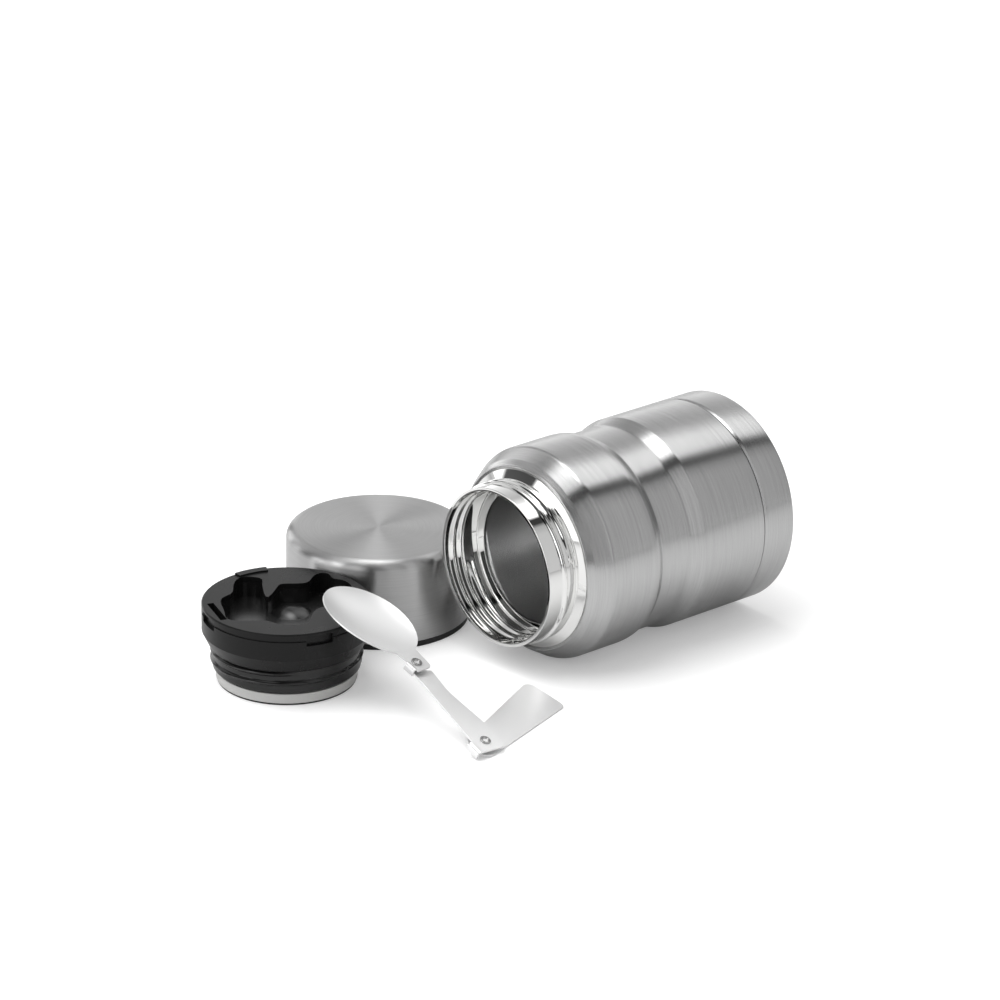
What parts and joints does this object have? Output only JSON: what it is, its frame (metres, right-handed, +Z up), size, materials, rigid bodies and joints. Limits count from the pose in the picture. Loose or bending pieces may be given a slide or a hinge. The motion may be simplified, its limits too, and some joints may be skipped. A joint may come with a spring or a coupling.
{
  "type": "insulated food jar",
  "caption": "Steel vacuum food jar laid open on its side, with a screw-on cup lid, a black threaded stopper with a spoon recess, and a folding steel spoon.",
  "frame": {"origin": "middle of the laid-out set's footprint, on the surface that it stands on", "axes": "+X along the jar's axis from its mouth to its base, +Y from the jar to the cup and the stopper, +Z up"},
  "size_m": [0.2506, 0.191, 0.098],
  "materials": {
    "brushed_steel": "brushed around the axis, satin",
    "inner_steel": "polished neck and lip, satin inside",
    "spoon_steel": "fine satin",
    "rivet_steel": "polished",
    "hidden_steel": "plain",
    "black_plastic": "fine satin",
    "black_liner": "satin",
    "washer_plastic": "matte",
    "silicone": "matte silicone",
    "foil": "bright copper foil",
    "foam": "rigid foam",
    "solder": "dull"
  },
  "bodies": {
    "jar": {"outer_shell": "brushed_steel", "vacuum_base": "hidden_steel", "base_cap": "brushed_steel", "sealing_bead": "solder", "inner_vessel": "inner_steel", "inner_bottom": "inner_steel", "copper_foil": "foil", "getter": "solder"},
    "cup": {"cup_shell": "brushed_steel", "cup_liner": "black_liner"},
    "stopper": {"stopper_top": "black_plastic", "stopper_body": "black_plastic", "stopper_foam": "foam", "seal_ring": "silicone", "stopper_foot": "black_plastic"},
    "arm": {"spoon_arm": "spoon_steel", "bowl_rivet": "rivet_steel", "handle_rivet": "rivet_steel", "bowl_washer": "washer_plastic", "handle_washer": "washer_plastic"},
    "bowl": {"spoon_bowl": "spoon_steel"},
    "handle": {"spoon_handle": "spoon_steel"}
  },
  "joints": [
    {"name": "cup_lift", "type": "slide", "parent": "jar", "child": "cup", "axis": [0, 0.2425, 0.9701], "range_m": [0, 0.1]},
    {"name": "stopper_lift", "type": "slide", "parent": "jar", "child": "stopper", "axis": [0, 0, 1], "range_m": [0, 0.1]},
    {"name": "spoon_lift", "type": "slide", "parent": "stopper", "child": "arm", "axis": [0, 0, 1], "range_m": [0, 0.1]},
    {"name": "bowl_fold", "type": "hinge", "parent": "arm", "child": "bowl", "pos_m": [-0.07122, -0.04179, 0.02157], "axis": [0.1139, -0.3569, 0.9272], "range_deg": [-185.5, 8]},
    {"name": "handle_fold", "type": "hinge", "parent": "arm", "child": "handle", "pos_m": [-0.07062, -0.08861, 0.00347], "axis": [0.1139, -0.3569, 0.9272], "range_deg": [-109, 71]}
  ]
}
